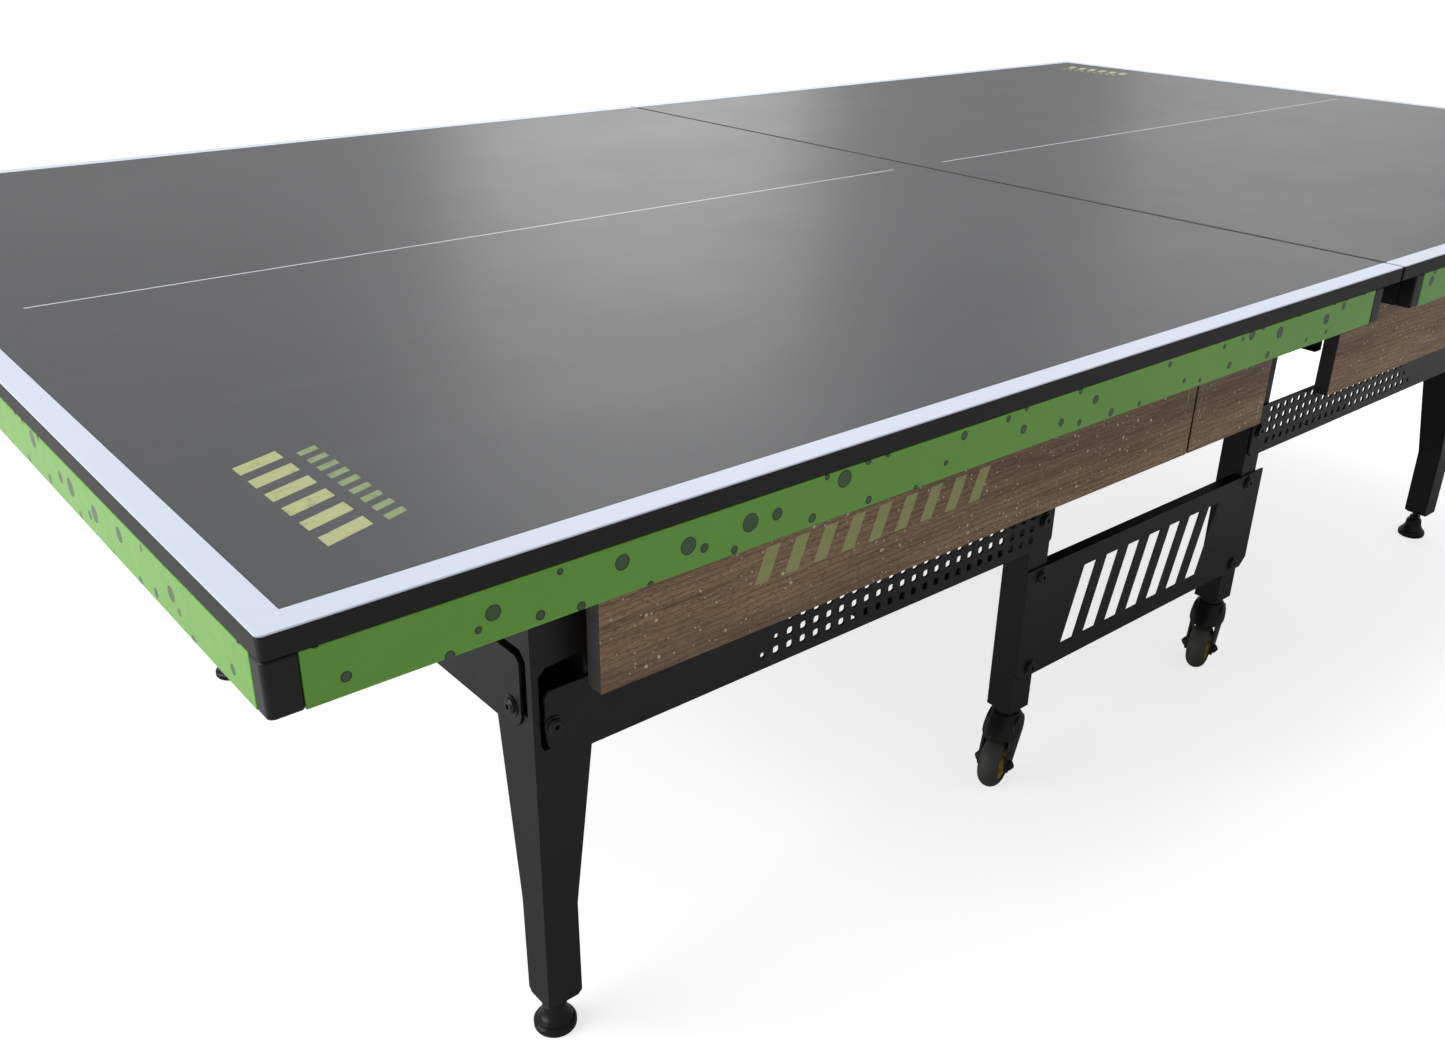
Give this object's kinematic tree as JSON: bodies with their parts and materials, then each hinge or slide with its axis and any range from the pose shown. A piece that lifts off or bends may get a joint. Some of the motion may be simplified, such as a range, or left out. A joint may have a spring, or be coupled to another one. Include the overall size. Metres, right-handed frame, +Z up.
{
  "type": "ping pong table",
  "caption": "Indoor table tennis table with two folding halves on a central wheeled carriage, green apron rails, wooden side planks and tapered black legs.",
  "frame": {"origin": "on the floor under the middle of the net line", "axes": "+X along the table's length towards half b, +Y across the table towards the far side, +Z up"},
  "size_m": [2.74, 1.525, 0.76],
  "materials": {
    "board": "satin dark grey coating with pale blue-white lines",
    "apron": "satin green coating with darker dots",
    "black_edge": "matte black",
    "plank": "weathered brown wood grain",
    "frame": "black powder coat",
    "bolts": "black oxide",
    "foot": "black moulded",
    "tyre": "dark grey rubber",
    "hub": "yellow moulded"
  },
  "bodies": {
    "carriage": {"post_a_near": "frame", "post_a_far": "frame", "post_b_near": "frame", "post_b_far": "frame", "cross_tube_a": "frame", "cross_tube_b": "frame", "side_panel_near": "frame", "side_panel_far": "frame", "panel_bolts": "bolts", "fold_hinge_pins": "bolts", "beam_pivot_bolts": "bolts"},
    "half_a": {"top_board_a": "board", "side_rail_a_near": "apron", "side_rail_a_far": "apron", "end_rail_a": "apron", "net_rail_a": "black_edge", "corner_blocks_a": "black_edge", "plank_a_near": "plank", "plank_a_far": "plank", "under_brackets_a": "frame", "cross_panel_a": "frame"},
    "legs_a": {"leg_a_near": "frame", "leg_a_far": "frame", "end_beam_a": "frame", "leg_bolts_a": "bolts"},
    "beam_a_near": {"side_beam_a_near": "frame"},
    "beam_a_far": {"side_beam_a_far": "frame"},
    "foot_a_near": {"foot_a_near": "foot"},
    "foot_a_far": {"foot_a_far": "foot"},
    "half_b": {"top_board_b": "board", "side_rail_b_near": "apron", "side_rail_b_far": "apron", "end_rail_b": "apron", "net_rail_b": "black_edge", "corner_blocks_b": "black_edge", "plank_b_near": "plank", "plank_b_far": "plank", "under_brackets_b": "frame", "cross_panel_b": "frame"},
    "legs_b": {"leg_b_near": "frame", "leg_b_far": "frame", "end_beam_b": "frame", "leg_bolts_b": "bolts"},
    "beam_b_near": {"side_beam_b_near": "frame"},
    "beam_b_far": {"side_beam_b_far": "frame"},
    "foot_b_near": {"foot_b_near": "foot"},
    "foot_b_far": {"foot_b_far": "foot"},
    "caster_a_near": {"caster_fork_a_near": "frame"},
    "wheel_a_near": {"caster_tyre_a_near": "tyre", "caster_hub_a_near": "hub"},
    "caster_a_far": {"caster_fork_a_far": "frame"},
    "wheel_a_far": {"caster_tyre_a_far": "tyre", "caster_hub_a_far": "hub"},
    "caster_b_near": {"caster_fork_b_near": "frame"},
    "wheel_b_near": {"caster_tyre_b_near": "tyre", "caster_hub_b_near": "hub"},
    "caster_b_far": {"caster_fork_b_far": "frame"},
    "wheel_b_far": {"caster_tyre_b_far": "tyre", "caster_hub_b_far": "hub"}
  },
  "joints": [
    {"name": "fold_a", "type": "hinge", "parent": "carriage", "child": "half_a", "pos_m": [-0.223, 0, 0.728], "axis": [0, 1, 0], "range_deg": [0, 90]},
    {"name": "leg_swing_a", "type": "hinge", "parent": "half_a", "child": "legs_a", "pos_m": [-0.979, 0, 0.728], "axis": [0, 1, 0], "range_deg": [-90, 0]},
    {"name": "beam_swing_a_near", "type": "hinge", "parent": "carriage", "child": "beam_a_near", "pos_m": [-0.258, -0.4965, 0.412], "axis": [0, 1, 0], "range_deg": [0, 90]},
    {"name": "beam_swing_a_far", "type": "hinge", "parent": "carriage", "child": "beam_a_far", "pos_m": [-0.258, 0.4965, 0.412], "axis": [0, 1, 0], "range_deg": [0, 90]},
    {"name": "foot_level_a_near", "type": "slide", "parent": "legs_a", "child": "foot_a_near", "axis": [0, 0, -1], "range_m": [0, 0.008]},
    {"name": "foot_level_a_far", "type": "slide", "parent": "legs_a", "child": "foot_a_far", "axis": [0, 0, -1], "range_m": [0, 0.008]},
    {"name": "fold_b", "type": "hinge", "parent": "carriage", "child": "half_b", "pos_m": [0.223, 0, 0.728], "axis": [0, -1, 0], "range_deg": [0, 90]},
    {"name": "leg_swing_b", "type": "hinge", "parent": "half_b", "child": "legs_b", "pos_m": [0.979, 0, 0.728], "axis": [0, -1, 0], "range_deg": [-90, 0]},
    {"name": "beam_swing_b_near", "type": "hinge", "parent": "carriage", "child": "beam_b_near", "pos_m": [0.258, -0.4965, 0.412], "axis": [0, -1, 0], "range_deg": [0, 90]},
    {"name": "beam_swing_b_far", "type": "hinge", "parent": "carriage", "child": "beam_b_far", "pos_m": [0.258, 0.4965, 0.412], "axis": [0, -1, 0], "range_deg": [0, 90]},
    {"name": "foot_level_b_near", "type": "slide", "parent": "legs_b", "child": "foot_b_near", "axis": [0, 0, -1], "range_m": [0, 0.008]},
    {"name": "foot_level_b_far", "type": "slide", "parent": "legs_b", "child": "foot_b_far", "axis": [0, 0, -1], "range_m": [0, 0.008]},
    {"name": "caster_swivel_a_near", "type": "hinge", "parent": "carriage", "child": "caster_a_near", "pos_m": [-0.258, -0.474, 0.12], "axis": [0, 0, 1], "continuous": true},
    {"name": "wheel_roll_a_near", "type": "hinge", "parent": "caster_a_near", "child": "wheel_a_near", "pos_m": [-0.28368, -0.48234, 0.038], "axis": [-0.309, 0.9511, 0], "continuous": true},
    {"name": "caster_swivel_a_far", "type": "hinge", "parent": "carriage", "child": "caster_a_far", "pos_m": [-0.258, 0.474, 0.12], "axis": [0, 0, 1], "continuous": true},
    {"name": "wheel_roll_a_far", "type": "hinge", "parent": "caster_a_far", "child": "wheel_a_far", "pos_m": [-0.28368, 0.46566, 0.038], "axis": [-0.309, 0.9511, 0], "continuous": true},
    {"name": "caster_swivel_b_near", "type": "hinge", "parent": "carriage", "child": "caster_b_near", "pos_m": [0.258, -0.474, 0.12], "axis": [0, 0, 1], "continuous": true},
    {"name": "wheel_roll_b_near", "type": "hinge", "parent": "caster_b_near", "child": "wheel_b_near", "pos_m": [0.23232, -0.48234, 0.038], "axis": [-0.309, 0.9511, 0], "continuous": true},
    {"name": "caster_swivel_b_far", "type": "hinge", "parent": "carriage", "child": "caster_b_far", "pos_m": [0.258, 0.474, 0.12], "axis": [0, 0, 1], "continuous": true},
    {"name": "wheel_roll_b_far", "type": "hinge", "parent": "caster_b_far", "child": "wheel_b_far", "pos_m": [0.23232, 0.46566, 0.038], "axis": [-0.309, 0.9511, 0], "continuous": true}
  ],
  "couplings": [
    {"joint": "leg_swing_a", "follows": "fold_a", "ratio": -1},
    {"joint": "beam_swing_a_near", "follows": "fold_a", "ratio": 1},
    {"joint": "beam_swing_a_far", "follows": "fold_a", "ratio": 1},
    {"joint": "leg_swing_b", "follows": "fold_b", "ratio": -1},
    {"joint": "beam_swing_b_near", "follows": "fold_b", "ratio": 1},
    {"joint": "beam_swing_b_far", "follows": "fold_b", "ratio": 1}
  ]
}
